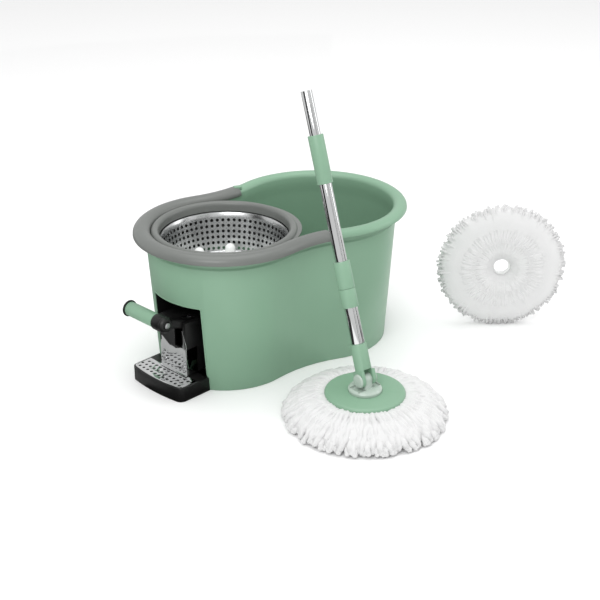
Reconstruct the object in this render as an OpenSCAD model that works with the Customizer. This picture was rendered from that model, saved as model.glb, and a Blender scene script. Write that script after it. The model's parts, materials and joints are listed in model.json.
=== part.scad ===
// Spin mop: a two-lobed bucket with a pedal-driven wringer basket, a telescopic mop and a spare head.
// Origin on the basket's axis at floor level, +X towards the bath end, +Z up, millimetres.

/* [Bucket] */
// Height of the bucket to the top of its rim
bucket_h = 250; // [220:1:300]
// Outer radius of the rim at the wringer end
wringer_r = 148; // [142:1:180]
// Outer radius of the rim at the bath end
bath_r = 158; // [145:1:192]
// Distance between the centres of the two round ends
end_spacing = 192; // [165:1:232]
// Radius of the concave waist, at the rim's edge
waist_r = 199; // [150:1:260]
// Wall thickness of the bucket
wall_t = 2.5; // [2:0.1:3.5]
// Width of the rolled rim
rim_w = 24; // [18:0.5:28]
// Height of the rim's straight skirt below its roll
rim_skirt = 2; // [1:0.5:5]
// How much further in the wall stands at the floor than under the neck
draft = 14; // [8:0.5:18]
// Depth of the recessed neck under the rim
ledge = 2.5; // [0.5:0.1:4]
// Height of the neck's lower edge
neck_z = 221; // [190:1:225]
// Thickness of the bucket's floor
floor_t = 3; // [2:0.1:5]

/* [Mechanism well] */
// Width of the well and of its opening in the wall
well_w = 107; // [104:1:116]
// How far the recess's middle lies towards the near side
well_shift = 6.5; // [5:0.5:8]
// Clear height of the well
well_h = 151; // [148:1:158]
// Angle between the pedal's centre line and the bucket's length
pedal_turn = 8; // [0:1:12]
// How far the well reaches past the basket's axis
well_back = 46; // [38:1:50]

/* [Rim cover] */
// Thickness of the rim cover
cover_t = 2.2; // [1.6:0.1:2.4]
// Wall of the drum behind the basket
guard_t = 1.5; // [1.2:0.1:2]
// Radius of the ring's opening over the basket
ring_open_r = 108; // [107.2:0.2:112]
// Width of the ring's raised bead
ring_bead_w = 13; // [9:0.5:15]
// Height of the ring's lower edge
ring_low_z = 231; // [230:0.5:236]
// How far the cover runs round the waist, past its middle
cover_past_waist = 10; // [4:1:14]
// How much wider the ring's shelf is towards the bath
bridge_in = 9; // [4:0.5:16]

/* [Wringer basket] */
// Radius of the basket's top edge
basket_top_r = 105; // [96:0.5:106]
// Radius of the basket's bottom
basket_low_r = 91; // [84:0.5:94]
// Height of the basket's bottom above the floor
basket_low_z = 161; // [160:0.5:172]
// Height of the basket's top edge above the floor
basket_top_z = 229; // [220:0.5:230]
// Sheet thickness of the basket
basket_t = 0.8; // [0.6:0.1:1.2]
// Number of pegs on the drive plate
pegs = 8; // [6:1:10]
// Turn of the first peg from the bucket's length
peg_turn = 3.7; // [0:0.1:45]
// Radius of the circle of pegs
peg_circle_r = 72; // [60:0.5:76]
// Radius of a peg
peg_r = 9; // [5:0.5:10]
// Height of a peg above the drive plate
peg_h = 20; // [10:0.5:24]
// Diameter of the basket's shaft
shaft_d = 10; // [8:0.5:12]

/* [Foot plate] */
// Width of the foot plate outside the bucket
foot_w = 125; // [121:0.5:132]
// Height of the foot plate
foot_h = 24; // [21:0.5:30]
// Distance of the foot plate's front corners from the basket's axis
foot_reach = 159; // [150:1:180]
// How far the front edge bows out
foot_bow = 6; // [0:0.5:10]
// Diameter of the drain holes in the chromed cover
foot_hole_d = 5; // [3:0.5:6]

/* [Pedal] */
// Height of the pedal's pivot
pivot_z = 100; // [98:0.5:102]
// Distance of the pedal's pivot from the basket's axis
pivot_x = 72; // [71:0.5:74]
// Height of the pedal roller's axis at rest
roller_z = 129.5; // [126:0.5:136]
// Distance of the pedal roller's axis from the basket's axis
roller_x = 158; // [154:0.5:164]
// Length of the pedal's turning grip
grip_len = 67; // [56:1:76]
// Diameter of the pedal's turning grip
grip_d = 24; // [20:0.5:26]
// Diameter of the pedal's end knuckle
knuckle_d = 27; // [24:0.5:30]
// Full stroke of the pedal in degrees
pedal_stroke = 36; // [30:1:36]

/* [Gears] */
// Face width of the gears
face_w = 10; // [8:0.5:11]

/* [Mop] */
// Place of the mop beside the bucket, along the bucket
mop_x = 62; // [55:1:75]
// Place of the mop beside the bucket, across it
mop_y = -293; // [-320:1:-290]
// Diameter of the mop's disc
disc_d = 129; // [115:1:150]
// Height of the disc's top face
disc_z = 46; // [44:0.5:52]
// Diameter of the spread strands
strands_d = 274; // [240:1:290]
// Height of the handle's pivot pin
pin_z = 66; // [65:0.5:72]
// Lean of the handle towards the bucket
lean = 19.6; // [0:0.1:24]

/* [Handle] */
// Outer diameter of the lower tube
tube_d = 21; // [20:0.1:24]
// Wall thickness of the tubes
tube_t = 0.8; // [0.6:0.1:1]
// Distance from pivot pin to the end of the socket
socket_end = 58; // [50:1:66]
// Distance from pivot pin to the lower edge of the lock collar
collar_low = 117; // [108:1:125]
// Distance from pivot pin to the upper edge of the lock collar
collar_top = 191; // [180:1:205]
// Distance from pivot pin to the lower end of the hand grip
hand_low = 313; // [290:1:330]
// Distance from pivot pin to the upper end of the hand grip
hand_top = 388; // [375:1:410]
// Distance from pivot pin to the open top of the pole
pole_top = 456; // [440:1:480]
// Diameter of the hand grip
hand_d = 24.5; // [23:0.1:28]

/* [Spare head] */
// Place of the spare head, along the bucket
spare_x = 470; // [455:1:520]
// Place of the spare head, across it
spare_y = -185; // [-220:1:-150]
// Diameter of the spare head
spare_d = 236; // [200:1:260]
// Thickness of the spare head
spare_t = 34; // [26:1:40]
// Direction that the spare head faces, turned from the bucket's side
spare_turn = -37; // [-60:1:0]
// Bore of the head's plastic ring
head_bore_d = 26; // [22:0.5:30]

/* [Hidden] */
$fn = 72;
body_gap = 0.3;
run_gap = 0.05;
slide_gap = 0.1;
skin_t = 2.5;

green = [0.53, 0.67, 0.57];
grey = [0.46, 0.47, 0.46];
black = [0.08, 0.08, 0.08];
white = [0.93, 0.94, 0.93];
chrome = [0.78, 0.79, 0.80];
steel = [0.6, 0.61, 0.61];

// Rim and wall, measured inwards from the rim's edge
roll_r = rim_w / 2;
rim_flat = 0.75;
roll_z = bucket_h - rim_flat * roll_r;
wall_in = rim_w - wall_t;
wall_low = -wall_in + ledge - draft;
// Steps of the outline and of the rim's roll
end_steps = 36;
waist_steps = 6;
roll_steps = 10;
// Centres of the two waist arcs
reach_a = wringer_r + waist_r;
reach_b = bath_r + waist_r;
waist_x = (pow(end_spacing, 2) + pow(reach_a, 2) - pow(reach_b, 2)) / (2 * end_spacing);
waist_y = sqrt(pow(reach_a, 2) - pow(waist_x, 2));
end_a = atan2(waist_y, waist_x);
end_b = atan2(waist_y, end_spacing - waist_x);

// Sides of the recess
well_y0 = -well_w / 2 - well_shift;
well_y1 = well_w / 2 - well_shift;
// Where the foot plate's raised part ends
deck_x = 100;

// Tooth module and tooth counts: pedal sector, idler and basket pinion
tooth_m = 1.5;
sector_n = 80;
small_n = 16;
large_n = 40;
pinion_n = 16;
// Gear train
sector_r = tooth_m * sector_n / 2;
small_r = tooth_m * small_n / 2;
large_r = tooth_m * large_n / 2;
pinion_r = tooth_m * pinion_n / 2;
tip = 0.8 * tooth_m;
root = 1.05 * tooth_m;
backlash = 0.2;
pitch = PI * tooth_m;
arm_y = -18;
arm_w = 16;
rack_z = pivot_z - sector_r;
rack_low = rack_z - 15.5;
rack_side_y = arm_y + arm_w / 2;
idler_y = rack_side_y + small_r;
idler_x = -sqrt(pow(large_r + pinion_r, 2) - pow(idler_y, 2));
mesh_a = atan2(-idler_y, -idler_x);
stroke = sector_r * pedal_stroke * PI / 180;
gear_low = 10;
case_y0 = -35;
case_y1 = 27;
case_front = pivot_x + 49.5;
case_top = 120;
cover_z = well_h + 3;
deck_t = 6;
liner_t = 1.6;
foot_corner = 12;
foot_row = 10;
washer_w = 2;

// Pole
mid_d = tube_d - 2 * tube_t - 2 * slide_gap;
top_d = mid_d - 2 * tube_t - 2 * slide_gap;
yoke_z = disc_z + body_gap;
spare_z = spare_d / 2 - 4;

// ---- placing ----

module at_pedal() { rotate([0, 0, pedal_turn]) children(); }
module at_mop() { translate([mop_x, mop_y, 0]) children(); }
module on_pole() { at_mop() translate([0, 0, pin_z]) rotate([-lean, 0, 0]) children(); }
module at_spare() {
  translate([spare_x, spare_y, spare_z]) rotate([0, 0, spare_turn]) rotate([90, 0, 0]) children();
}
// A cylinder along Y from y0 to y1
module y_rod(r, y0, y1, x = 0, z = 0) {
  translate([x, y1, z]) rotate([90, 0, 0]) cylinder(r = r, h = y1 - y0);
}
module tube(r, t, z0, z1) {
  difference() {
    translate([0, 0, z0]) cylinder(r = r, h = z1 - z0);
    translate([0, 0, z0 - 1]) cylinder(r = r - t, h = z1 - z0 + 2);
  }
}
module box(lo, hi) { translate(lo) cube(hi - lo); }

// ---- the bucket's outline ----

// One station of the outline: a point on the rim's edge and the outward direction there
function station(cx, cy, r, a, s) = [cx + r * cos(a), cy + r * sin(a), s * cos(a), s * sin(a)];
// The wringer end with the waist arcs beside it, as far as past degrees beyond the waist's middle
function waist_run(s, a0, a1, n) =
  [for (i = [0:n]) station(waist_x, s * waist_y, waist_r, s * (a0 + (a1 - a0) * i / n), -1)];
function wringer_run(n) =
  [for (i = [1:n - 1]) station(0, 0, wringer_r, end_a + (360 - 2 * end_a) * i / n, 1)];
function bath_run(n) = [
  for (i = [1:n - 1]) station(end_spacing, 0, bath_r, end_b - 180 + (360 - 2 * end_b) * i / n, 1)
];
whole_run = concat(
  wringer_run(end_steps), waist_run(-1, end_a - 180, -end_b, waist_steps), bath_run(end_steps),
  waist_run(1, -end_b, end_a - 180, waist_steps)
);
cover_stop = -90 + cover_past_waist;
cover_run = concat(
  waist_run(1, cover_stop, end_a - 180, waist_steps), wringer_run(end_steps),
  waist_run(-1, end_a - 180, cover_stop, waist_steps)
);
function placed(st, p) = [st[0] + p[0] * st[2], st[1] + p[0] * st[3], p[1]];
// The side faces between n rings of m points each
function skin(m, n, closed) = [
  for (j = [0:n - 2], i = [0:m - (closed ? 1 : 2)])
    let (a = j * m + i, b = j * m + (i + 1) % m)
    each [[a, a + m, b + m], [a, b + m, b]]
];
module plan(inset) {
  difference() {
    union() {
      circle(r = wringer_r - inset);
      translate([end_spacing, 0]) circle(r = bath_r - inset);
      polygon([[0, 0], [waist_x, -waist_y], [end_spacing, 0], [waist_x, waist_y]]);
    }
    for (s = [-1, 1]) translate([waist_x, s * waist_y]) circle(r = waist_r + inset);
  }
}
// Points of the rim's half-round roll, from angle a0 to a1; x is measured outwards from the rim's edge
function roll(r, a0, a1) = [
  for (k = [0:roll_steps]) let (a = a0 + (a1 - a0) * k / roll_steps)
    [-roll_r + r * cos(a), roll_z + rim_flat * r * sin(a)]
];
shell_profile = concat(
  [[wall_low, 0], [-wall_in + ledge, neck_z], [-wall_in, neck_z + 3]],
  roll(roll_r - wall_t, 180, 0),
  [[-wall_t, roll_z - rim_skirt], [0, roll_z - rim_skirt]],
  roll(roll_r, 0, 180),
  [for (q = [[9, 0], [3, 0.2], [-5, 0.55], [-14, 0.7]]) [-rim_w + q[1] * ledge, neck_z + q[0]]],
  [[wall_low - wall_t, floor_t]]
);
// Bucket wall, rim and floor in one closed skin
module shell() {
  m = len(whole_run);
  n = len(shell_profile);
  polyhedron(
    concat(
      [for (p = shell_profile, st = whole_run) placed(st, p)],
      [[waist_x, 0, 0], [waist_x, 0, floor_t]]
    ),
    concat(
      skin(m, n, true),
      [for (i = [0:m - 1]) [m * n, i, (i + 1) % m]],
      [for (i = [0:m - 1]) [m * n + 1, (n - 1) * m + (i + 1) % m, (n - 1) * m + i]]
    )
  );
}
module bucket() color(green) {
  mid_low = wringer_r + wall_low - wall_t / 2;
  difference() {
    union() {
      shell();
      intersection() {
        at_pedal() box([-wringer_r, well_y0 - 3, floor_t / 2], [well_back + 3, well_y1 + 3, cover_z]);
        cylinder(h = neck_z, r1 = mid_low, r2 = mid_low + draft);
      }
    }
    at_pedal() box([-wringer_r, well_y0, -1], [well_back, well_y1, well_h]);
    cylinder(r = shaft_d / 2 + 4, h = cover_z + 1);
  }
}

cover_in = roll_r + body_gap;
cover_profile = concat(
  [[-roll_r - cover_in, roll_z - cover_t - 1]], roll(cover_in, 180, 0),
  [[-roll_r + cover_in, roll_z - rim_skirt - 1]],
  [[-roll_r + cover_in + cover_t, roll_z - rim_skirt - 1]], roll(cover_in + cover_t, 0, 180),
  [[-roll_r - cover_in - cover_t, roll_z - cover_t - 1]]
);
// The clip-on roll over the bucket's rim, closed along its lower edge and at both ends
module rim_roll() {
  m = len(cover_run);
  n = len(cover_profile);
  function cap(i, turn) = [
    for (k = [0:n / 2 - 2]) let (q = [k, k + 1, n - 2 - k, n - 1 - k])
      each [for (t = [[0, 1, 2], [0, 2, 3]]) [for (v = turn ? [t[0], t[2], t[1]] : t) q[v] * m + i]]
  ];
  polyhedron(
    [for (p = cover_profile, st = cover_run) placed(st, p)],
    concat(
      skin(m, n, false),
      [for (i = [0:m - 2]) let (a = (n - 1) * m + i) each [[a, i, i + 1], [a, i + 1, a + 1]]],
      cap(0, true), cap(m - 1, false)
    )
  );
}
module rim_cover() color(grey) rim_roll();
// The beaded opening over the basket, with the shelf that ties it to the rim cover
module ring_and_shelf() {
  bead_r = ring_bead_w / 2;
  bead_x = ring_open_r + bead_r;
  bead_z = bucket_h - 3 - bead_r;
  bead_out = ring_open_r + ring_bead_w;
  cover_face = rim_w + 2 * body_gap + cover_t + 0.1;
  shelf_r = wringer_r - cover_face;
  shelf_z = roll_z - cover_t - 0.4;
  function arc(r, a0, a1) = [
    for (k = [0:roll_steps]) let (a = a0 + (a1 - a0) * k / roll_steps)
      [bead_x + r * cos(a), bead_z + r * sin(a)]
  ];
  rotate_extrude() polygon(concat(
    [[ring_open_r, ring_low_z]], arc(bead_r, 180, 0), [[bead_out, shelf_z], [bead_out - cover_t, shelf_z]],
    arc(bead_r - cover_t, 0, 180), [[ring_open_r + cover_t, ring_low_z]]
  ));
  translate([0, 0, shelf_z]) linear_extrude(cover_t) difference() {
    intersection() {
      plan(cover_face);
      translate([bridge_in, 0]) circle(r = shelf_r);
    }
    circle(r = bead_out - 1);
  }
}
module basket_ring() color(grey) ring_and_shelf();

// A drum behind the basket that keeps the spray out of the bath
module splash_guard() color(black) {
  tube(ring_open_r + cover_t + guard_t, guard_t, basket_low_z + 7, ring_low_z + 9);
}

// ---- wringer basket ----

module basket() color(steel) {
  rotate_extrude() {
    polygon([
      [shaft_d / 2 + 3, basket_low_z], [basket_low_r, basket_low_z], [basket_top_r, basket_top_z],
      [basket_top_r - basket_t, basket_top_z], [basket_low_r - basket_t, basket_low_z + basket_t],
      [shaft_d / 2 + 3, basket_low_z + basket_t],
    ]);
    translate([basket_top_r - basket_t, basket_top_z]) circle(r = 1.6);
  }
}
module drive_plate() color(white) {
  low = basket_low_z + basket_t;
  difference() {
    union() {
      translate([0, 0, low]) cylinder(r = peg_circle_r + peg_r + 2, h = 3);
      translate([0, 0, low]) cylinder(r1 = 26, r2 = 20, h = 14);
      for (i = [0:pegs - 1]) rotate([0, 0, peg_turn + i * 360 / pegs]) translate([peg_circle_r, 0, low + 2]) {
        cylinder(r = peg_r, h = peg_h - peg_r + 1);
        translate([0, 0, peg_h - peg_r + 1]) sphere(r = peg_r);
      }
    }
    translate([0, 0, low - 1]) cylinder(r = shaft_d / 2, h = 20);
    translate([0, 0, low + 8]) cylinder(r = 10.5, h = 10);
  }
}
module hub_nut() color(steel) translate([0, 0, basket_low_z + basket_t + 8]) difference() {
  union() {
    cylinder(r = 10, h = 1.5);
    cylinder(r = 8.5, h = 7, $fn = 6);
  }
  translate([0, 0, -1]) cylinder(r = shaft_d / 2, h = 10);
}
module basket_shaft() color(steel) {
  translate([0, 0, deck_t + 2.5]) cylinder(r = shaft_d / 2, h = basket_low_z + basket_t + 15 - deck_t - 2.5);
}
module shaft_bush() color(white) difference() {
  union() {
    translate([0, 0, well_h - 4]) cylinder(r = shaft_d / 2 + 7, h = 4);
    translate([0, 0, well_h - 4]) cylinder(r = shaft_d / 2 + 4, h = cover_z - well_h + 5);
  }
  translate([0, 0, well_h - 5]) cylinder(r = shaft_d / 2 + run_gap, h = 20);
}
module shaft_seal() color(black) translate([0, 0, cover_z]) difference() {
  cylinder(r = shaft_d / 2 + 8, h = 3);
  translate([0, 0, -1]) cylinder(r = shaft_d / 2 + 4, h = 2);
  translate([0, 0, -1]) cylinder(r = shaft_d / 2 + run_gap, h = 5);
}

// ---- gears ----

function inv(a) = tan(a) * 180 / PI - a;
// Half the angle that a tooth of n teeth covers at radius r
function half_tooth(r, n) =
  let (rp = tooth_m * n / 2, rb = rp * cos(20))
  90 / n - backlash * 45 / (PI * rp) + inv(20) - inv(acos(min(1, rb / max(r, rb))));
function tooth_side(n, s) =
  let (rp = tooth_m * n / 2, r0 = rp - root, rb = max(r0, rp * cos(20)), r1 = rp + tip)
  [for (k = [0:5]) let (r = k == 0 ? r0 : rb + (r1 - rb) * (k - 1) / 4) [r, s * half_tooth(r, n)]];
function reversed(v) = [for (i = [len(v) - 1:-1:0]) v[i]];
function one_tooth(n, a) = [
  for (p = concat(tooth_side(n, -1), reversed(tooth_side(n, 1))))
    [p[0] * cos(a + p[1]), p[0] * sin(a + p[1])]
];
// A whole gear with a tooth centred on angle a
module gear_2d(n, a) {
  polygon([for (i = [0:n - 1]) each one_tooth(n, a + i * 360 / n)]);
}
// A straight rack along X; its pitch line is y = 0, its teeth point to +Y, a gap is centred on x = 0
module rack_2d(n0, n1, back) {
  half = pitch / 4 - backlash / 4;
  polygon(concat(
    [for (i = [n0:n1]) each [
      [(i + 0.5) * pitch - half - root * tan(20), -root], [(i + 0.5) * pitch - half + tip * tan(20), tip],
      [(i + 0.5) * pitch + half - tip * tan(20), tip], [(i + 0.5) * pitch + half + root * tan(20), -root],
    ]],
    [[(n1 + 1) * pitch, -root], [(n1 + 1) * pitch, -back], [n0 * pitch, -back], [n0 * pitch, -root]]
  ));
}

module output_pinion() color(white) translate([0, 0, gear_low]) difference() {
  linear_extrude(face_w) gear_2d(pinion_n, mesh_a + pedal_turn + 180 + 180 / pinion_n);
  translate([0, 0, -1]) cylinder(r = shaft_d / 2, h = face_w + 2);
}
module idler_gear() color(white) at_pedal() translate([idler_x, idler_y, 0]) difference() {
  union() {
    translate([0, 0, gear_low]) linear_extrude(face_w) gear_2d(large_n, mesh_a);
    translate([0, 0, gear_low]) cylinder(r = small_r - root, h = rack_low - gear_low + 1);
    translate([0, 0, rack_low]) linear_extrude(face_w + 2) gear_2d(small_n, -90);
  }
  cylinder(r = 3 + run_gap, h = 60);
}
module idler_pin() color(steel) at_pedal() translate([idler_x, idler_y, deck_t]) {
  cylinder(r = 3, h = rack_low + face_w + 6 - deck_t);
  cylinder(r = 6, h = gear_low - deck_t - body_gap);
}
// The rack lies along the pedal's centre line, driven from above and driving the idler at its side
module drive_rack() color(white) at_pedal() {
  front = ceil(-(stroke + 5) / pitch);
  translate([idler_x, rack_side_y, rack_low]) linear_extrude(rack_z - root - rack_low)
    rack_2d(front, 2, arm_w - 2);
  translate([-pivot_x, rack_side_y - 3, rack_z]) rotate([90, 0, 0]) linear_extrude(arm_w - 5)
    rack_2d(front, 1, rack_z - rack_low);
}
module rack_guide() color(black) at_pedal() {
  x0 = -deck_x + body_gap;
  x1 = pinion_r + 5;
  y0 = rack_side_y - arm_w - 1;
  box([x0, y0, rack_low - 3], [x1, rack_side_y - tip - 1, rack_low - body_gap]);
  box([x0, y0, rack_low - 3.5], [x1, y0 + 2.5, rack_low + 5]);
  box([x0, y0, deck_t], [x0 + 4, rack_side_y - tip - 1, rack_low - 1]);
  box([x1 - 4, y0, deck_t], [x1, rack_side_y - tip - 1, rack_low - 1]);
}

// ---- housing and foot plate ----

module gear_case() color(black) at_pedal() {
  low = foot_h + 1.5;
  back_x = well_back - 3;
  back_y1 = idler_y + large_r + 6;
  back_y0 = -large_r - 6;
  slot_y0 = arm_y - arm_w / 2 - 2;
  slot_y1 = arm_y + arm_w / 2 + 2;
  difference() {
    union() {
      box([-case_front, case_y0, low], [-pivot_x + 14, case_y1, case_top]);
      box([-pivot_x + 8, back_y0, deck_t], [back_x, back_y1, case_top - 8]);
    }
    box([-case_front + skin_t, case_y0 + skin_t, 0], [-pivot_x + 12, case_y1 - skin_t, case_top - skin_t]);
    box([-pivot_x + 8 + skin_t, back_y0 + skin_t, 0],
        [back_x - skin_t, back_y1 - skin_t, case_top - 8 - skin_t]);
    box([-pivot_x, case_y0 + skin_t, 0], [-pivot_x + 20, case_y1 - skin_t, case_top - 8 - skin_t]);
    box([-case_front - 1, slot_y0, 74], [-pivot_x - 20, slot_y1, case_top + 1]);
    y_rod(4, case_y0 - 1, case_y1 + 1, -pivot_x, pivot_z);
    cylinder(r = shaft_d / 2 + 3, h = case_top);
    translate([idler_x, idler_y, 0]) cylinder(r = large_r + tip + 1, h = gear_low + face_w + 1);
  }
}
// Dark lining of the recess, open at the front and below
module well_liner() color(black) {
  mid_low = wringer_r + wall_low - wall_t / 2;
  difference() {
    intersection() {
      at_pedal() box([-wringer_r, well_y0 + body_gap, foot_h + 2],
                     [well_back - body_gap, well_y1 - body_gap, well_h - body_gap]);
      cylinder(h = neck_z, r1 = mid_low, r2 = mid_low + draft);
    }
    at_pedal() box([-wringer_r - 1, well_y0 + body_gap + liner_t, 0],
                   [well_back - body_gap - liner_t, well_y1 - body_gap - liner_t,
                    well_h - body_gap - liner_t]);
    cylinder(r = shaft_d / 2 + 8, h = cover_z);
  }
}
module foot_outline(w, reach, bow, back) {
  r = (pow(w / 2, 2) + pow(bow, 2)) / (2 * bow);
  y_c = w / 2 - foot_corner;
  x_c = foot_corner - reach - bow * (1 - pow(2 * y_c / w, 2));
  difference() {
    intersection() {
      translate([-reach - bow + r, 0]) circle(r = r, $fn = 160);
      translate([-reach - bow - 1, -w / 2]) square([reach + bow + 1 - back, w]);
    }
    for (s = [-1, 1]) difference() {
      translate([-reach - bow - 1, s > 0 ? y_c : -w / 2 - 1])
        square([x_c + reach + bow + 1, foot_corner + 1]);
      translate([x_c, s * y_c]) circle(r = foot_corner);
    }
  }
}
module foot_plate() color(black) {
  wall_clear = wringer_r + wall_low + body_gap;
  difference() {
    union() {
      difference() {
        at_pedal() linear_extrude(foot_h) foot_outline(foot_w, foot_reach, foot_bow, 84);
        translate([0, 0, -1])
          cylinder(h = neck_z + 1, r1 = wall_clear, r2 = wall_clear + draft);
      }
      at_pedal() box([-deck_x - 24, well_y0 + body_gap, 0], [-deck_x, well_y1 - body_gap, foot_h]);
      at_pedal() box([-deck_x - 10, well_y0 + body_gap, 0],
                     [well_back - body_gap, well_y1 - body_gap, deck_t]);
      translate([0, 0, deck_t - 1]) cylinder(r = shaft_d / 2 + 4, h = 4);
    }
    at_pedal() for (y = [[well_y0 + 6, -2], [2, well_y1 - 6]])
      box([-foot_reach + 4, y[0], -1], [-deck_x - 3, y[1], foot_h - 3]);
    translate([0, 0, deck_t - 3]) cylinder(r = shaft_d / 2 + run_gap, h = 10);
  }
}
module foot_cover() color(chrome) at_pedal() translate([0, 0, foot_h]) {
  edge = 2;
  difference() {
    linear_extrude(1.8) foot_outline(foot_w - 2 * edge, foot_reach - edge, foot_bow, case_front + 0.5);
    translate([0, 0, 1])
      linear_extrude(2) foot_outline(foot_w - 4 * edge, foot_reach - 2 * edge, foot_bow, case_front - 1);
    for (i = [0:2], j = [-5:5])
      translate([-foot_reach + 7 + i * foot_row, (j + (i % 2) / 2) * foot_row, -1])
        cylinder(d = foot_hole_d, h = 3, $fn = 24);
  }
}
module foot_pads() color(black) at_pedal() for (x = [-88, well_back - 14], y = [well_y0 + 10, well_y1 - 4.5])
  translate([x, y, deck_t]) cylinder(r = 4, h = 4);

module pedal_shroud() color(chrome) at_pedal() {
  t = 1.2;
  x = -case_front - body_gap;
  y0 = case_y0 - t - 0.2;
  y1 = case_y1 + t + 0.2;
  low = foot_h + 1.9;
  difference() {
    union() {
      translate([x, y1, low]) rotate([90, 0, -90]) linear_extrude(t) mirror([1, 0])
        polygon([[0, 0], [y0 - y1, 0], [y0 - y1, 55], [y0 - y1 + 9, 80], [0, 80]]);
      box([x - t / 2, y0, low], [x + 22, y0 + t, low + 47]);
      box([x - t / 2, y1 - t, low], [x + 22, y1, low + 47]);
      box([x - t - 4, y0, low], [x - t / 2, y1, low + t]);
    }
    box([x - 2 * t, arm_y - arm_w / 2 - 1.5, 74], [x + t, arm_y + arm_w / 2 + 1.5, 130]);
    for (y = [case_y0 + 8, case_y1 - 8])
      translate([x - 2 * t, y, foot_h + 14]) rotate([0, 90, 0]) cylinder(r = 2, h = 4);
  }
}
module shroud_screws() color(steel) at_pedal() for (y = [case_y0 + 8, case_y1 - 8])
  translate([-case_front - body_gap - 1.2, y, foot_h + 14]) rotate([0, -90, 0]) cylinder(r = 3, h = 1.4);

// ---- pedal ----

module pedal_arm() color(black) at_pedal() {
  r = knuckle_d / 2;
  span = 46;
  rise = atan2(roller_z - pivot_z, roller_x - pivot_x);
  long = sqrt(pow(roller_z - pivot_z, 2) + pow(roller_x - pivot_x, 2));
  difference() {
    translate([-pivot_x, arm_y + arm_w / 2, pivot_z]) rotate([90, 0, 0]) linear_extrude(arm_w) union() {
      circle(r = 10);
      rotate(180 - rise) translate([0, -7]) square([long - 4, 14]);
      rotate(180 - rise) translate([long, 0]) circle(r = r);
      intersection() {
        gear_2d(sector_n, -90);
        polygon([
          [0, 0], [-80 * sin(span), -80 * cos(span)], [-80 * tan(20), -80], [80 * sin(10), -80 * cos(10)],
        ]);
      }
    }
    y_rod(4 + run_gap, -60, 60, -pivot_x, pivot_z);
    y_rod(4, -60, 60, -roller_x, roller_z);
    for (a = [-78, -100, -122]) translate([-pivot_x, arm_y - arm_w, pivot_z]) rotate([0, -a, 0])
      translate([36, 0, 0]) rotate([-90, 0, 0]) cylinder(r = 7, h = 2 * arm_w);
  }
}
module pedal_pivot_pin() color(steel) at_pedal() {
  y_rod(4, case_y0 - 0.2, case_y1 + 0.2, -pivot_x, pivot_z);
}
module pedal_spring() color(steel) at_pedal() {
  for (i = [0:5]) translate([-pivot_x, 2 + i * 1.5, pivot_z]) rotate([90, 0, 0])
    rotate_extrude() translate([8, 0]) circle(r = 0.9);
}
module pedal_spindle() color(steel) at_pedal() {
  y_rod(4, arm_y - arm_w / 2 - 2, arm_y + arm_w / 2 + washer_w + grip_len + 4, -roller_x, roller_z);
}
module pedal_end_cap() color(black) at_pedal()
translate([-roller_x, arm_y - arm_w / 2, roller_z]) difference() {
  rotate([90, 0, 0]) union() {
    cylinder(r = knuckle_d / 2, h = 5);
    translate([0, 0, 5]) cylinder(r1 = knuckle_d / 2, r2 = knuckle_d / 2 - 3, h = 4);
  }
  y_rod(4, -2, 1);
  y_rod(6, -20, -7);
}
module pedal_screw() color(white) at_pedal() {
  y_rod(5.2, arm_y - arm_w / 2 - 10, arm_y - arm_w / 2 - 7, -roller_x, roller_z);
}
module pedal_collar() color(black) at_pedal() difference() {
  y_rod(knuckle_d / 2 - 0.5, arm_y + arm_w / 2, arm_y + arm_w / 2 + washer_w, -roller_x, roller_z);
  y_rod(4, -60, 60, -roller_x, roller_z);
}
module pedal_grip() color(green) at_pedal() difference() {
  y0 = arm_y + arm_w / 2 + washer_w + body_gap;
  y_rod(grip_d / 2, y0, y0 + grip_len - 2 * body_gap, -roller_x, roller_z);
  y_rod(4 + run_gap, -60, 160, -roller_x, roller_z);
}
module pedal_flange() color(black) at_pedal() difference() {
  y0 = arm_y + arm_w / 2 + washer_w + grip_len;
  union() {
    y_rod(grip_d / 2 + 2, y0, y0 + 3, -roller_x, roller_z);
    y_rod(grip_d / 2 - 3, y0 + 2.9, y0 + 5, -roller_x, roller_z);
  }
  y_rod(4, -60, y0 + 4, -roller_x, roller_z);
}

// ---- mop ----

module mop_disc() color(green) at_mop() difference() {
  union() {
    translate([0, 0, disc_z - 10]) cylinder(r = disc_d / 2, h = 7);
    translate([0, 0, disc_z - 3]) cylinder(r1 = disc_d / 2, r2 = disc_d / 2 - 3, h = 3);
  }
  translate([0, 0, disc_z - 12]) cylinder(r = 4 + run_gap, h = 20);
}
module head_ring() color(white) at_mop() difference() {
  translate([0, 0, disc_z - 14]) cylinder(r = 30, h = 4);
  translate([0, 0, disc_z - 15]) cylinder(d = head_bore_d, h = 6);
}
module mop_strands() color(white) at_mop() {
  r = strands_d / 2;
  under = disc_z - 10 - body_gap;
  rotate_extrude() polygon([
    [head_bore_d / 2, 0], [r - 18, 0], [r, 14], [r, 26], [r - 18, 40], [disc_d / 2 + 26, 44],
    [disc_d / 2 + 1, 44], [disc_d / 2 + 1, under], [31, under], [31, disc_z - 14.3],
    [head_bore_d / 2, disc_z - 14.3],
  ]);
}
module swivel_yoke() color([0.7, 0.77, 0.72]) at_mop() {
  difference() {
    union() {
      translate([0, 0, yoke_z]) cylinder(r = 27, h = 4);
      translate([0, 0, yoke_z + 4]) cylinder(r1 = 27, r2 = 24, h = 3);
      box([-7, -9, yoke_z], [7, 9, pin_z]);
      translate([-7, 0, pin_z]) rotate([0, 90, 0]) cylinder(r = 9, h = 14);
    }
    translate([0, 0, yoke_z - 1]) cylinder(r = 4, h = 9);
    translate([-10, 0, pin_z]) rotate([0, 90, 0]) cylinder(r = 3 + run_gap, h = 20);
    for (s = [-1, 1]) box([s * 15 - 7.5, -12, yoke_z + 4], [s * 15 + 7.5, 12, pin_z]);
  }
}
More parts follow.
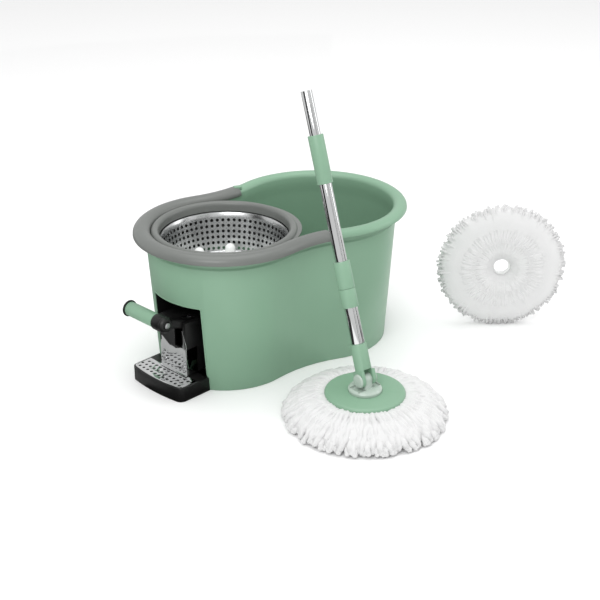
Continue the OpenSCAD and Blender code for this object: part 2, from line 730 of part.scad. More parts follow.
module swivel_bolt() color(steel) at_mop() {
  translate([0, 0, disc_z - 14]) cylinder(r = 4, h = yoke_z + 8 - disc_z + 14);
  translate([0, 0, disc_z - 16]) cylinder(r = 8, h = 5.6);
}
module socket() color(green) on_pole() difference() {
  union() {
    cylinder(r = tube_d / 2 + 2.5, h = socket_end);
    for (s = [0, 1]) mirror([s, 0, 0]) {
      translate([7.4, 0, 0]) rotate([0, 90, 0]) cylinder(r = 11.5, h = 6);
      box([7.4, -11.5, 0], [13.4, 11.5, 14]);
    }
  }
  translate([0, 0, 24]) cylinder(r = tube_d / 2, h = socket_end);
  box([-7.4, -20, -20], [7.4, 20, 17]);
  translate([-20, 0, 0]) rotate([0, 90, 0]) cylinder(r = 3, h = 40);
}
module ear_caps() color([0.66, 0.71, 0.67]) on_pole() for (s = [0, 1]) mirror([s, 0, 0])
  translate([13.4, 0, 0]) rotate([0, 90, 0]) cylinder(r1 = 12, r2 = 10, h = 3);
module yoke_pin() color(steel) on_pole()
  translate([-13.4, 0, 0]) rotate([0, 90, 0]) cylinder(r = 3, h = 26.8);
module lower_tube() color(chrome) on_pole() tube(tube_d / 2, tube_t, 24, collar_low + 30);
module lock_seat() color(green) on_pole() tube(tube_d / 2 + 2.4, 2.4, collar_low, collar_low + 30);
module lock_collar() color(green) on_pole() difference() {
  translate([0, 0, collar_low + 30 + body_gap])
    cylinder(r = tube_d / 2 + 2.6, h = collar_top - collar_low - 31);
  translate([0, 0, collar_low]) cylinder(r = mid_d / 2 + slide_gap, h = 200);
}
module mid_tube() color(chrome) on_pole() tube(mid_d / 2, tube_t, collar_low - 85, hand_low + 30);
module inner_wedge() color(white) on_pole() tube(mid_d / 2 - tube_t, 2, collar_low - 85, collar_low - 65);
module hand_grip() color(green) on_pole() difference() {
  translate([0, 0, hand_low]) cylinder(d = hand_d, h = hand_top - hand_low);
  translate([0, 0, hand_low - 1]) cylinder(r = mid_d / 2, h = 31);
  translate([0, 0, hand_low]) cylinder(r = top_d / 2 + slide_gap, h = 200);
}
module top_tube() color(chrome) on_pole() tube(top_d / 2, tube_t, hand_low - 90, pole_top);

// ---- spare head ----

module spare_ring() color(white) at_spare() difference() {
  translate([0, 0, -2]) cylinder(r = 30, h = 4);
  translate([0, 0, -3]) cylinder(d = head_bore_d, h = 6);
}
module spare_strands() color(white) at_spare() difference() {
  r = spare_d / 2;
  h = spare_t / 2;
  rotate_extrude() polygon([
    [head_bore_d / 2 + 3, 2 + body_gap], [head_bore_d / 2 + 3, h - 4], [40, h], [r - 16, h], [r, 4], [r, -4],
    [r - 16, -h], [40, -h], [head_bore_d / 2 + 3, 4 - h], [head_bore_d / 2 + 3, -2 - body_gap],
    [30 + body_gap, -2 - body_gap], [30 + body_gap, 2 + body_gap],
  ]);
  box([-r, -r - 10, -spare_t], [r, -spare_z, spare_t]);
}

bucket();
rim_cover();
basket_ring();
splash_guard();
basket();
drive_plate();
hub_nut();
basket_shaft();
shaft_bush();
shaft_seal();
output_pinion();
idler_gear();
idler_pin();
drive_rack();
rack_guide();
gear_case();
well_liner();
foot_plate();
foot_cover();
foot_pads();
pedal_shroud();
shroud_screws();
pedal_arm();
pedal_pivot_pin();
pedal_spring();
pedal_spindle();
pedal_end_cap();
pedal_collar();
pedal_grip();
pedal_flange();
pedal_screw();
mop_disc();
head_ring();
mop_strands();
swivel_yoke();
swivel_bolt();
yoke_pin();
socket();
ear_caps();
lower_tube();
lock_seat();
lock_collar();
mid_tube();
inner_wedge();
hand_grip();
top_tube();
spare_ring();
spare_strands();
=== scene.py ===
"""Spin mop with its bucket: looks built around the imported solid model. Metres throughout."""

import json
import math
import random

import bmesh
import bpy
from mathutils import Matrix, Vector


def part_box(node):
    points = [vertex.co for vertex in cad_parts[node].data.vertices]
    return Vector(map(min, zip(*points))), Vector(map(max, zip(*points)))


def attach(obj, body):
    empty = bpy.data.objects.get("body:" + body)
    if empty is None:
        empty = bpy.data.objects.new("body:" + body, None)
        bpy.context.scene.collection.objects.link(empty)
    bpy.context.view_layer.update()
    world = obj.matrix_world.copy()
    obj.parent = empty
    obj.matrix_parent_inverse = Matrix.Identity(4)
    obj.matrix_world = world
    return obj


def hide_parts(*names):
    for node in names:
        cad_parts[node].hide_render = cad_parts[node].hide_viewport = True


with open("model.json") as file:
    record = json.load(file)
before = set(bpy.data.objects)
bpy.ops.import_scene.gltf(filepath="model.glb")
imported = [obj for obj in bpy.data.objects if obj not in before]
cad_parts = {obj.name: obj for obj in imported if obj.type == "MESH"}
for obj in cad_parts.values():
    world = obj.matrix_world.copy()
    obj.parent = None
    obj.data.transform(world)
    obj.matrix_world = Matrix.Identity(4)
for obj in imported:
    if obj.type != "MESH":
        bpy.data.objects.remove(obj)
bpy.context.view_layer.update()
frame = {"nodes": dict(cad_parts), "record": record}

random.seed(7)
MM = 0.001
RECORD = frame["record"]
MOUNTS = {m["name"]: m for m in RECORD["mounts"]}
BODY_OF = {n: b for b, members in RECORD["behaviour"]["bodies"].items() for n in members}
SLOT_OF = {s["node"]: s["material_slot"] for s in RECORD["subparts"]}


# ---------------------------------------------------------------- camera

CAMERA_PLACE = Vector((-1.0831, -1.6168, 1.025))
lens = bpy.data.cameras.new("camera")
lens.sensor_width = 36.0
lens.lens = 76.0
camera = bpy.data.objects.new("camera", lens)
bpy.context.scene.collection.objects.link(camera)
camera.location = CAMERA_PLACE
camera.rotation_euler = (math.radians(64.8), 0.0, math.radians(-37.5))
bpy.context.scene.camera = camera


# ---------------------------------------------------------------- small tools


def focus(obj):
    """Only obj is selected and active."""
    bpy.ops.object.select_all(action="DESELECT")
    obj.select_set(True)
    bpy.context.view_layer.objects.active = obj


def modify(obj, kind, **settings):
    """Adds a modifier of that kind and applies it."""
    focus(obj)
    modifier = obj.modifiers.new(kind.title(), kind)
    for key, value in settings.items():
        setattr(modifier, key, value)
    bpy.ops.object.modifier_apply(modifier=modifier.name)


def smooth(obj, degrees=35):
    focus(obj)
    bpy.ops.object.shade_smooth_by_angle(angle=math.radians(degrees))


def new_object(name, mesh):
    obj = bpy.data.objects.new(name, mesh)
    bpy.context.scene.collection.objects.link(obj)
    return obj


def from_points(name, points, faces=(), edges=()):
    mesh = bpy.data.meshes.new(name)
    mesh.from_pydata([tuple(p) for p in points], list(edges), [tuple(f) for f in faces])
    mesh.update()
    return new_object(name, mesh)


def outward(obj):
    """Merges doubles and turns every face outwards."""
    focus(obj)
    bpy.ops.object.mode_set(mode="EDIT")
    bpy.ops.mesh.select_all(action="SELECT")
    bpy.ops.mesh.remove_doubles(threshold=2e-6)
    bpy.ops.mesh.normals_make_consistent(inside=False)
    bpy.ops.object.mode_set(mode="OBJECT")


def linear(red, green, blue):
    """An 8-bit display colour as linear RGBA."""
    out = []
    for value in (red, green, blue):
        c = value / 255.0
        out.append(c / 12.92 if c <= 0.04045 else ((c + 0.055) / 1.055) ** 2.4)
    return (*out, 1.0)


def scaled(colour, factor):
    return (*[min(1.0, c * factor) for c in colour[:3]], 1.0)


# ---------------------------------------------------------------- materials


class Value:
    """One socket of a material, with arithmetic."""

    def __init__(self, paint, link):
        self.paint, self.link = paint, link

    def math(self, operation, *others):
        sockets = dict(enumerate((self, *others)))
        return self.paint.node("ShaderNodeMath", {"operation": operation}, sockets)

    def _turned(self, operation, other):
        return self.paint.node("ShaderNodeMath", {"operation": operation}, {0: other, 1: self})

    def __add__(self, other):
        return self.math("ADD", other)

    __radd__ = __add__

    def __mul__(self, other):
        return self.math("MULTIPLY", other)

    __rmul__ = __mul__

    def __sub__(self, other):
        return self.math("SUBTRACT", other)

    def __rsub__(self, other):
        return self._turned("SUBTRACT", other)

    def __truediv__(self, other):
        return self.math("DIVIDE", other)

    def __rtruediv__(self, other):
        return self._turned("DIVIDE", other)

    def clamp(self, low=0.0, high=1.0):
        return self.math("MAXIMUM", low).math("MINIMUM", high)

    def step(self, low, high):
        """0 below low, 1 above high, smooth between."""
        t = ((self - low) / (high - low)).clamp()
        return t * t * (3.0 - 2.0 * t)


class Paint:
    """A material under construction."""

    def __init__(self, name, **fixed):
        self.material = bpy.data.materials.new(name)
        self.material.use_nodes = True
        self.tree = self.material.node_tree
        self.shader = next(n for n in self.tree.nodes if n.type == "BSDF_PRINCIPLED")
        for key, value in fixed.items():
            self.shader.inputs[key.replace("_", " ")].default_value = value
        self.place = self.node("ShaderNodeTexCoord", out="Object")

    def node(self, kind, settings=None, sockets=None, out=0):
        made = self.tree.nodes.new(kind)
        for key, value in (settings or {}).items():
            setattr(made, key, value)
        for key, value in (sockets or {}).items():
            if isinstance(value, Value):
                self.tree.links.new(value.link, made.inputs[key])
            else:
                made.inputs[key].default_value = value
        return Value(self, made.outputs[out])

    def moved(self, scale=(1, 1, 1), centre=(0, 0, 0), turn=(0, 0, 0)):
        """Object coordinates about a centre, turned, then scaled."""
        shifted = self.node(
            "ShaderNodeVectorMath", {"operation": "SUBTRACT"}, {0: self.place, 1: centre}
        )
        settings = {"vector_type": "POINT"}
        sockets = {"Vector": shifted, "Rotation": turn, "Scale": scale}
        return self.node("ShaderNodeMapping", settings, sockets)

    def axis(self, name, where=None):
        return self.node("ShaderNodeSeparateXYZ", None, {0: where or self.place}, out=name)

    def noise(self, scale, detail=2.0, roughness=0.5, where=None):
        sockets = {
            "Vector": where or self.place,
            "Scale": scale,
            "Detail": detail,
            "Roughness": roughness,
        }
        return self.node("ShaderNodeTexNoise", None, sockets, out=0)

    def mix(self, factor, first, second):
        return self.node(
            "ShaderNodeMix", {"data_type": "RGBA"}, {0: factor, 6: first, 7: second}, out=2
        )

    def give(self, socket, value):
        self.tree.links.new(value.link, self.shader.inputs[socket])

    def bump(self, height, strength, distance):
        sockets = {"Height": height, "Strength": strength, "Distance": distance}
        self.give("Normal", self.node("ShaderNodeBump", None, sockets))


def moulded(name, colour, rough, grain=0.10, spread=0.05, coat=0.0, dust=0.0):
    """Injection-moulded plastic: slow tone drift, fine grain, faint handling marks."""
    paint = Paint(name, Specular_IOR_Level=0.45, Coat_Roughness=0.12, Coat_Weight=coat)
    drift = paint.noise(7.0, 3.0, 0.55)
    marks = paint.noise(60.0, 6.0, 0.7)
    fine = paint.noise(1600.0, 2.0, 0.6)
    tone = paint.mix(drift, scaled(colour, 1.0 - spread), scaled(colour, 1.0 + spread))
    if dust:
        low = (1.0 - paint.axis("Z").step(0.0, 0.035)) * paint.noise(150.0, 5.0, 0.7)
        tone = paint.mix(low * dust, tone, scaled(colour, 0.62))
    paint.give("Base Color", tone)
    paint.give("Roughness", (rough + (marks - 0.5) * 0.16).clamp(0.05, 0.95))
    paint.bump(fine + marks * 0.35, grain, 0.00012)
    return paint.material


def polished(name, colour, rough, streak=None, streak_strength=0.0):
    """Plated or polished steel, with smudges and, where asked, a drawn grain."""
    paint = Paint(name, Metallic=1.0)
    smudge = paint.noise(34.0, 5.0, 0.62)
    drift = paint.noise(11.0, 2.0, 0.5)
    paint.give("Base Color", paint.mix(drift, scaled(colour, 0.94), colour))
    paint.give("Roughness", (rough + smudge.step(0.45, 0.8) * 0.07).clamp(0.02, 0.9))
    if streak:
        lines = paint.noise(1.0, 3.0, 0.6, where=paint.moved(scale=streak))
        paint.bump(lines, streak_strength, 0.00008)
    else:
        paint.bump(smudge, 0.03, 0.0002)
    return paint.material


def fibrous(name, colour, shade):
    """Looped microfibre yarn: a fuzzy, twisted, matt white."""
    paint = Paint(name, Sheen_Weight=0.35, Sheen_Roughness=0.6, Specular_IOR_Level=0.2)
    clump = paint.noise(38.0, 3.0, 0.5)
    yarn = paint.noise(420.0, 3.0, 0.65)
    fuzz = paint.noise(1900.0, 2.0, 0.7)
    tone = paint.mix((clump * 0.6 + yarn * 0.6).step(0.35, 0.75), scaled(colour, shade), colour)
    paint.give("Base Color", tone)
    paint.give("Roughness", (0.86 + yarn * 0.12).clamp(0.5, 1.0))
    paint.bump(yarn + fuzz * 0.5, 0.30, 0.0005)
    return paint.material


GREEN = linear(127, 162, 137)
GREY = linear(107, 110, 107)
FINISH = {
    "green_plastic": moulded("green_plastic", GREEN, 0.40, dust=0.25),
    "grey_plastic": moulded("grey_plastic", GREY, 0.34),
    "black_plastic": moulded("black_plastic", linear(15, 15, 15), 0.44, grain=0.3),
    "white_plastic": moulded("white_plastic", linear(236, 238, 236), 0.25, coat=0.3),
    "gear_plastic": moulded("gear_plastic", linear(224, 220, 208), 0.45),
    "pale_green_plastic": moulded("pale_green_plastic", linear(172, 186, 176), 0.26, coat=0.3),
    "polished_steel": polished("polished_steel", (0.70, 0.71, 0.71, 1.0), 0.045),
    "basket_steel": polished(
        "basket_steel", (0.62, 0.63, 0.63, 1.0), 0.24, (12, 12, 1400), 0.25
    ),
    "plain_steel": polished("plain_steel", (0.55, 0.55, 0.56, 1.0), 0.30, (60, 60, 900), 0.2),
    "rubber": moulded("rubber", linear(30, 30, 30), 0.75, grain=0.4),
    "microfibre": fibrous("microfibre", (0.67, 0.67, 0.67, 1.0), 0.97),
}


def dress(obj, node, *more, finish=None):
    """obj stands for one or more solids: it rides and is painted as the first, with the finish of
    its slot.
    """
    slot = finish or SLOT_OF[node]
    obj.data.materials.clear()
    obj.data.materials.append(FINISH[slot])
    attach(obj, BODY_OF[node])
    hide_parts(node, *more)
    return obj


def refined(node, edge=0.6, crease=32, segments=2):
    """A solid's own shape as one merged mesh, with its sharp edges rounded by edge mm."""
    obj = new_object(node + "_piece", frame["nodes"][node].data.copy())
    focus(obj)
    bpy.ops.object.mode_set(mode="EDIT")
    bpy.ops.mesh.select_all(action="SELECT")
    bpy.ops.mesh.customdata_custom_splitnormals_clear()
    bpy.ops.mesh.remove_doubles(threshold=5e-6)
    bpy.ops.mesh.dissolve_limited(angle_limit=math.radians(0.4))
    bpy.ops.object.mode_set(mode="OBJECT")
    if edge:
        modify(
            obj, "BEVEL", width=edge * MM, segments=segments, limit_method="ANGLE",
            angle_limit=math.radians(crease), use_clamp_overlap=True,
        )
    smooth(obj, crease)
    return obj


# ---------------------------------------------------------------- rigid pieces

EDGES = {
    "bucket": 1.1, "rim_cover": 0.5, "basket_ring": 0.5, "drive_plate": 0.6, "hub_nut": 0.5,
    "basket_shaft": 0.5, "shaft_bush": 0.3, "shaft_seal": 0.3, "output_pinion": 0.15,
    "idler_gear": 0.15, "idler_pin": 0.3, "drive_rack": 0.15, "rack_guide": 0.4,
    "gear_case": 1.2, "foot_plate": 1.6, "foot_cover": 0.25, "foot_pads": 0.6,
    "pedal_shroud": 0.35, "shroud_screws": 0.25, "pedal_arm": 0.9, "pedal_pivot_pin": 0.4,
    "pedal_spring": 0.1, "pedal_spindle": 0.4, "pedal_end_cap": 2.2, "pedal_collar": 0.7,
    "pedal_grip": 0.7, "pedal_flange": 0.9, "pedal_screw": 0.4, "mop_disc": 1.6,
    "head_ring": 0.6, "swivel_yoke": 0.8, "swivel_bolt": 0.4, "yoke_pin": 0.3,
    "socket": 0.8, "ear_caps": 1.2, "lower_tube": 0.2, "lock_seat": 0.5, "mid_tube": 0.2,
    "lock_collar": 0.8, "hand_grip": 0.8, "inner_wedge": 0.3, "top_tube": 0.2, "spare_ring": 0.6,
}
OWN_SHAPE = ("basket", "mop_strands", "spare_strands")
for node_name in SLOT_OF:
    if node_name not in OWN_SHAPE:
        dress(refined(node_name, EDGES.get(node_name, 0.3)), node_name)


# ---------------------------------------------------------------- wringer basket

BASKET_LOW, BASKET_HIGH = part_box("basket")
COLUMNS, ROWS = 66, 6
HOLE_R = 2.7 * MM
LOW_TO_TOP = 91 / 105  # radius of the basket's floor over that of its top
PLAIN_TOP, PLAIN_LOW = 9.3 * MM, 2.7 * MM  # unpunched bands above and below the rows


def punched_tile(width, height, sides=12):
    """One square of sheet with a round hole, as (points, faces)."""
    points, faces = [], []
    for ring in range(2):
        for k in range(sides):
            angle = 2 * math.pi * (k + 0.5) / sides
            x, y = math.cos(angle), math.sin(angle)
            if ring == 0:
                points.append((HOLE_R * x, HOLE_R * y))
            else:
                reach = max(abs(x), abs(y))
                points.append((x / reach * width / 2, y / reach * height / 2))
    for k in range(sides):
        n = (k + 1) % sides
        faces.append((k, sides + k, sides + n, n))
    return points, faces


def basket():
    """Spun sheet basket: a plain lip band over rows of round holes, and a flat floor ring."""
    top_r = (BASKET_HIGH.x - BASKET_LOW.x) / 2
    top_z, low_z = BASKET_HIGH.z, BASKET_LOW.z
    low_r = top_r * LOW_TO_TOP
    hole_top, hole_low = top_z - PLAIN_TOP, low_z + PLAIN_LOW
    row_h = (hole_top - hole_low) / ROWS
    slope = (top_r - low_r) / (top_z - low_z)
    mean_r = (top_r + low_r) / 2
    col_w = 2 * math.pi * mean_r / COLUMNS
    tile_points, tile_faces = punched_tile(col_w, row_h)

    def wall(u, z, push=0.0):
        r = low_r + (z - low_z) * slope + push
        a = u / mean_r
        return (r * math.cos(a), r * math.sin(a), z)

    points, faces = [], []
    for row in range(ROWS):
        for col in range(COLUMNS):
            start = len(points)
            u0, z0 = (col + 0.5) * col_w, hole_low + (row + 0.5) * row_h
            points += [wall(u0 + x, z0 + y) for x, y in tile_points]
            faces += [tuple(start + i for i in face) for face in tile_faces]
    sides_per_tile = 3
    around = COLUMNS * sides_per_tile

    def ring(z_values):
        rows = []
        for r_push, z in z_values:
            rows.append(len(points))
            for k in range(around):
                points.append(wall((k / sides_per_tile) * col_w, z, r_push))
        for a, b in zip(rows, rows[1:]):
            for k in range(around):
                n = (k + 1) % around
                faces.append((a + k, a + n, b + n, b + k))

    ring([(0, hole_top), (0, top_z - 4 * MM), (1.2 * MM, top_z - 2.2 * MM),
          (1.4 * MM, top_z - 0.9 * MM), (0.0, top_z - 0.6 * MM)])
    floor_in = -(low_r - 40 * MM)
    ring([(floor_in, low_z + 0.4 * MM), (-4 * MM, low_z + 0.4 * MM), (-1.5 * MM, low_z + 1.0 * MM),
          (-0.3 * MM, low_z + 1.8 * MM), (0, hole_low)])
    obj = from_points("basket_piece", points, faces)
    outward(obj)
    modify(obj, "SOLIDIFY", thickness=0.7 * MM, offset=0.0)
    smooth(obj, 40)
    return obj


dress(basket(), "basket")


# ---------------------------------------------------------------- strands


def strand(path, radius, rng, sides=6, lumps=0.10):
    """One tapered yarn along a path, as (points, faces) with closed ends."""
    path = [Vector(p) for p in path]
    points, faces, count = [], [], len(path)
    side = Vector((0.0, 0.0, 1.0))
    for i, centre in enumerate(path):
        ahead = (path[min(i + 1, count - 1)] - path[max(i - 1, 0)]).normalized()
        across = ahead.cross(side)
        if across.length < 1e-3:
            across = ahead.cross(Vector((1.0, 0.0, 0.0)))
        across.normalize()
        rise = across.cross(ahead).normalized()
        end = min(i, count - 1 - i)
        taper = 0.45 if end == 0 else 0.88 if end == 1 else 1.0
        r = radius * taper * rng.uniform(1 - lumps, 1 + lumps)
        for k in range(sides):
            a = 2 * math.pi * (k + 0.5 * (i % 2)) / sides
            points.append(centre + across * (r * math.cos(a)) + rise * (r * math.sin(a)))
    for i in range(count - 1):
        for k in range(sides):
            n = (k + 1) % sides
            a, b = i * sides, (i + 1) * sides
            faces.append((a + k, a + n, b + n, b + k))
    faces.append(tuple(reversed(range(sides))))
    faces.append(tuple(range((count - 1) * sides, count * sides)))
    return points, faces


def cushion(rows, count=96):
    """A closed ring whose section is the loop of (radius, height) rows."""
    points, faces, across = [], [], len(rows)
    for k in range(count):
        a = 2 * math.pi * k / count
        swell = 1.0 + 0.012 * math.sin(9 * a) + 0.008 * math.sin(23 * a)
        points += [(r * swell * math.cos(a), r * swell * math.sin(a), z) for r, z in rows]
    for k in range(count):
        for i in range(across):
            n, j = (k + 1) % count, (i + 1) % across
            faces.append((k * across + i, n * across + i, n * across + j, k * across + j))
    return points, faces


def yarns(name, strands):
    points, faces = [], []
    for some_points, some_faces in strands:
        start = len(points)
        points += some_points
        faces += [tuple(start + i for i in face) for face in some_faces]
    obj = from_points(name, points, faces)
    outward_fast(obj)
    focus(obj)
    bpy.ops.object.shade_smooth()
    return obj


def outward_fast(obj):
    """Turns every face of every closed strand outwards."""
    work = bmesh.new()
    work.from_mesh(obj.data)
    bmesh.ops.recalc_face_normals(work, faces=work.faces)
    work.to_mesh(obj.data)
    work.free()


DISC_LOW, DISC_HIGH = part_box("mop_disc")
MOP_LOW, MOP_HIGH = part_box("mop_strands")
MOP_X, MOP_Y = (DISC_LOW.x + DISC_HIGH.x) / 2, (DISC_LOW.y + DISC_HIGH.y) / 2
MOP_R = (MOP_HIGH.x - MOP_LOW.x) / 2
MOP_TOP = MOP_HIGH.z


def mop_strands():
    rng = random.Random(21)
    made = []
    layers = [
        # count, start radius, mound height, reach, yarn radius
        (64, 0.040, 0.020, 0.985, 5.4 * MM),
        (66, 0.050, 0.030, 0.965, 5.6 * MM),
        (70, 0.052, 0.038, 0.94, 5.6 * MM),
        (74, 0.056, MOP_TOP - 3.0 * MM, 0.89, 5.2 * MM),
    ]
    for count, start_r, mound, reach, yarn_r in layers:
        for k in range(count):
            a0 = 2 * math.pi * (k + rng.uniform(-0.35, 0.35)) / count
            end_r = MOP_R * reach * rng.uniform(0.965, 1.015) - 0.4 * yarn_r
            bend = rng.uniform(-0.10, 0.10)
            lift = rng.uniform(-2.0, 1.5) * MM
            path = []
            steps = 9
            for i in range(steps):
                t = i / (steps - 1)
                r = start_r + (end_r - start_r) * math.sin(t * math.pi / 2) ** 1.05
                height = (mound + lift) * math.cos(t * math.pi / 2) ** 0.75
                if t < 0.18:
                    height = min(height, 0.030 + 0.06 * t)
                a = a0 + bend * t * t + 0.02 * math.sin(5 * t + k)
                z = max(yarn_r * 1.02, height)
                path.append((MOP_X + r * math.cos(a), MOP_Y + r * math.sin(a), z))
            made.append(strand(path, yarn_r, rng))
    bed, bed_faces = cushion([
        (0.044, 0.028), (0.066, 0.032), (0.074, 0.039), (0.095, 0.037), (0.113, 0.028),
        (0.124, 0.014), (0.116, 0.003), (0.048, 0.003),
    ])
    made.append(([(x + MOP_X, y + MOP_Y, z) for x, y, z in bed], bed_faces))
    return yarns("mop_strands_piece", made)


dress(mop_strands(), "mop_strands")

SPARE_MOUNT = MOUNTS["spare_ring_bore"]
SPARE_CENTRE = Vector(SPARE_MOUNT["pos_m"])
SPARE_LOW, SPARE_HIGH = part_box("spare_strands")
SPARE_R = (SPARE_HIGH.z - SPARE_LOW.z) / 2
SPARE_AXIS = Vector(SPARE_MOUNT["axis"])
SPARE_PLACE = (
    Matrix.Translation(SPARE_CENTRE)
    @ SPARE_AXIS.to_track_quat("Z", "Y").to_matrix().to_4x4()
)


def spare_strands():
    rng = random.Random(5)
    made = []
    layers = [
        # count, start radius, side, lift off the middle plane, reach, yarn radius
        (54, 0.016, 1, 9.0 * MM, 0.99, 4.4 * MM),
        (54, 0.016, -1, 9.0 * MM, 0.99, 4.4 * MM),
        (60, 0.016, 1, 4.0 * MM, 1.0, 4.6 * MM),
        (60, 0.016, -1, 4.0 * MM, 1.0, 4.6 * MM),
        (72, 0.017, 1, 12.5 * MM, 0.965, 4.0 * MM),
        (72, 0.017, -1, 12.5 * MM, 0.965, 4.0 * MM),
    ]
    for count, start_r, side, lift, reach, yarn_r in layers:
        for k in range(count):
            a0 = 2 * math.pi * (k + rng.uniform(-0.3, 0.3)) / count
            end_r = SPARE_R * reach * rng.uniform(0.98, 1.025) - 0.4 * yarn_r
            bend = rng.uniform(-0.07, 0.07)
            path = []
            steps = 8
            for i in range(steps):
                t = i / (steps - 1)
                r = start_r + (end_r - start_r) * t
                a = a0 + bend * t * t
                height = side * lift * (0.55 + 0.45 * math.sin(math.pi * min(1.0, t * 1.15)))
                path.append((r * math.cos(a), r * math.sin(a), height))
            made.append(strand(path, yarn_r, rng))
    made.append(cushion([
        (0.0165, 0.0105), (0.050, 0.0150), (0.086, 0.0140), (0.104, 0.0085), (0.111, 0.0),
        (0.104, -0.0085), (0.086, -0.0140), (0.050, -0.0150), (0.0165, -0.0105),
    ]))
    obj = yarns("spare_strands_piece", made)
    obj.data.transform(SPARE_PLACE)
    floor_z = 0.8 * MM
    for vertex in obj.data.vertices:
        if vertex.co.z < floor_z:
            vertex.co.z = floor_z * (1.0 + 0.3 * math.tanh((vertex.co.z - floor_z) / (8 * MM)))
    return obj


dress(spare_strands(), "spare_strands")


# ---------------------------------------------------------------- bucket's small features


def alongside(obj):
    """A moulded feature of the bucket: green, and it moves with the bucket."""
    obj.data.materials.append(FINISH["green_plastic"])
    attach(obj, "bucket")


# The recess, in millimetres: its sides across the pedal's line, its foot and its top,
# and the wall's radius at the floor with how much wider it is at the neck
RECESS_SIDES, RECESS_FOOT, RECESS_TOP, PEDAL_TURN = (-60.0, 47.0), 26.0, 151.0, 8
WALL_RADIUS, WALL_DRAFT, NECK_HEIGHT = 115.0, 14.0, 221.0
LIP_RADIUS, LIP_SINK, LIP_CORNER, LIP_STEP = 1.3 * MM, 0.4, 2, 4


def recess_lip():
    """The half-round bead round the edge of the recess in the wringer end."""
    turn = Matrix.Rotation(math.radians(PEDAL_TURN), 3, "Z")
    near, far = RECESS_SIDES
    corners = [
        (near, RECESS_FOOT), (near, RECESS_TOP - LIP_CORNER), (near + LIP_CORNER, RECESS_TOP),
        (far - LIP_CORNER, RECESS_TOP), (far, RECESS_TOP - LIP_CORNER), (far, RECESS_FOOT),
    ]
    path = []
    for (y0, z0), (y1, z1) in zip(corners, corners[1:]):
        steps = max(2, int(max(abs(y1 - y0), abs(z1 - z0)) / LIP_STEP))
        for i in range(steps):
            y, z = y0 + (y1 - y0) * i / steps, z0 + (z1 - z0) * i / steps
            reach = WALL_RADIUS + WALL_DRAFT * z / NECK_HEIGHT - LIP_SINK
            path.append(turn @ Vector((-math.sqrt(reach ** 2 - y ** 2), y, z)) * MM)
    points, faces = strand(path, LIP_RADIUS, random.Random(1), sides=8, lumps=0.0)
    obj = from_points("recess_lip", points, faces)
    outward(obj)
    smooth(obj, 50)
    return obj


def rim_clip():
    """The small block that ends the rim cover at the back."""
    bpy.ops.mesh.primitive_cube_add(size=1.0)
    obj = bpy.context.active_object
    obj.name = "rim_clip"
    place = Matrix.Translation((0.116, 0.128, 0.2495)) @ Matrix.Rotation(math.radians(-20), 4, "Z")
    obj.data.transform(place @ Matrix.Diagonal((14 * MM, 10 * MM, 7 * MM, 1)))
    modify(obj, "BEVEL", width=1.5 * MM, segments=3)
    smooth(obj, 40)
    return obj


alongside(recess_lip())
alongside(rim_clip())


# ---------------------------------------------------------------- floor and light


def plane(name, size, place, colour, rough=0.9):
    obj = from_points(
        name,
        [
            place @ Vector((x * size[0] / 2, y * size[1] / 2, 0))
            for x, y in ((-1, -1), (1, -1), (1, 1), (-1, 1))
        ],
        [(0, 1, 2, 3)],
    )
    paint = Paint(name, Roughness=rough)
    paint.shader.inputs["Base Color"].default_value = colour
    obj.data.materials.append(paint.material)
    return obj


plane("floor", (30, 30), Matrix.Translation((0, 0, -0.0004)), (0.93, 0.93, 0.93, 1.0))

AIM = Vector((0.13, -0.06, 0.13))


def softbox(name, place, size, energy):
    light = bpy.data.lights.new(name, "AREA")
    light.shape = "RECTANGLE"
    light.size, light.size_y = size
    light.energy = energy
    obj = bpy.data.objects.new(name, light)
    bpy.context.scene.collection.objects.link(obj)
    obj.location = place
    obj.rotation_euler = (AIM - Vector(place)).to_track_quat("-Z", "Y").to_euler()
    return obj


softbox("key", (-1.9, -1.5, 2.4), (1.6, 1.6), 40)
softbox("top", (0.3, 0.2, 3.0), (2.4, 2.4), 34)
softbox("fill", (2.3, -1.6, 1.5), (1.5, 1.8), 14)


def reflected_only(obj):
    """Leaves obj to be seen in gloss and nowhere else."""
    obj.visible_camera = False
    obj.visible_diffuse = False
    obj.visible_shadow = False


def card(name, azimuth, distance, width, shade, height=2.6):
    """A dark upright card that only reflections see, at an angle from the camera's side: a painted
    reflection stripe.
    """
    towards = Vector((CAMERA_PLACE.x - AIM.x, CAMERA_PLACE.y - AIM.y, 0)).normalized()
    turned = Matrix.Rotation(math.radians(azimuth), 3, "Z") @ towards
    spot = Vector((AIM.x, AIM.y, 0.5)) + turned * distance
    place = Matrix.Translation(spot) @ turned.to_track_quat("Z", "Y").to_matrix().to_4x4()
    reflected_only(plane(name, (width, height), place, (shade, shade, shade, 1.0)))


def patch(name, points, faces, shade):
    """A flat grey patch on the floor that only reflections see: a painted reflection."""
    obj = from_points(name, points, faces)
    paint = Paint(name, Roughness=0.9)
    paint.shader.inputs["Base Color"].default_value = (shade, shade, shade, 1.0)
    obj.data.materials.append(paint.material)
    reflected_only(obj)


WEDGE_CENTRE = Vector((0.062, -0.20, 0.0003))
WEDGE_REACH, WEDGE_STEPS = 2.5, 8


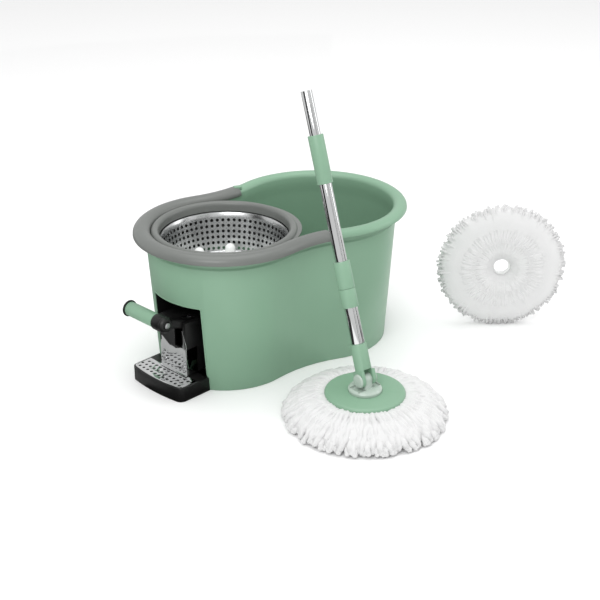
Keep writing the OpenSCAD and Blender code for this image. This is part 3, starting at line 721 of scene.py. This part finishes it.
def wedge(name, start, stop, shade):
    """A sector of the floor between two angles from the camera's side, in degrees, seen only in
    reflections: a painted reflection stripe.
    """
    towards = CAMERA_PLACE - WEDGE_CENTRE
    ahead = math.atan2(towards.y, towards.x)
    points = [WEDGE_CENTRE]
    for i in range(WEDGE_STEPS + 1):
        a = math.radians(start + (stop - start) * i / WEDGE_STEPS) + ahead
        points.append(
            WEDGE_CENTRE + Vector((WEDGE_REACH * math.cos(a), WEDGE_REACH * math.sin(a), 0))
        )
    patch(name, points, [tuple(range(len(points)))], shade)


GLINT_CENTRE = Vector((-0.21, 0.05, 0.0007))
GLINT_CORNERS, GLINT_OUT, GLINT_IN = 14, 0.10, 0.055


def glint():
    """A ragged grey star on the floor beside the pedal's housing, seen only in reflections: a
    painted reflection in the chrome column.
    """
    rng = random.Random(3)
    points = [GLINT_CENTRE]
    for i in range(GLINT_CORNERS):
        a = 2 * math.pi * i / GLINT_CORNERS
        r = (GLINT_OUT if i % 2 else GLINT_IN) * rng.uniform(0.8, 1.2)
        points.append(GLINT_CENTRE + Vector((r * math.cos(a), r * math.sin(a), 0)))
    faces = [(0, 1 + i, 1 + (i + 1) % GLINT_CORNERS) for i in range(GLINT_CORNERS)]
    patch("glint", points, faces, 0.45)


glint()
# Painted reflections: dark and grey floor sectors and upright cards, seen only in gloss, give the
# chrome tubes their stripes.
for sector in (
    ("wedge_left", -97, -41, 0.004),
    ("wedge_thin_a", 18, 26, 0.03),
    ("wedge_thin_b", 38, 46, 0.03),
    ("wedge_right", 68, 78, 0.004),
    ("wedge_grey_right", 80, 130, 0.20),
    ("wedge_grey_left", -180, -97, 0.20),
):
    wedge(*sector)
for upright in (
    ("card_left", -62, 1.9, 0.9, 0.004),
    ("card_thin_a", 32, 1.9, 0.16, 0.02),
    ("card_thin_b", 50, 1.9, 0.10, 0.02),
    ("card_right", 84, 1.9, 0.42, 0.004),
):
    card(*upright)

world = bpy.data.worlds.new("studio")
bpy.context.scene.world = world
world.use_nodes = True
background = next(n for n in world.node_tree.nodes if n.type == "BACKGROUND")
background.inputs["Color"].default_value = (1.0, 1.0, 1.0, 1.0)
background.inputs["Strength"].default_value = 0.80
bpy.context.scene.view_settings.view_transform = "Standard"
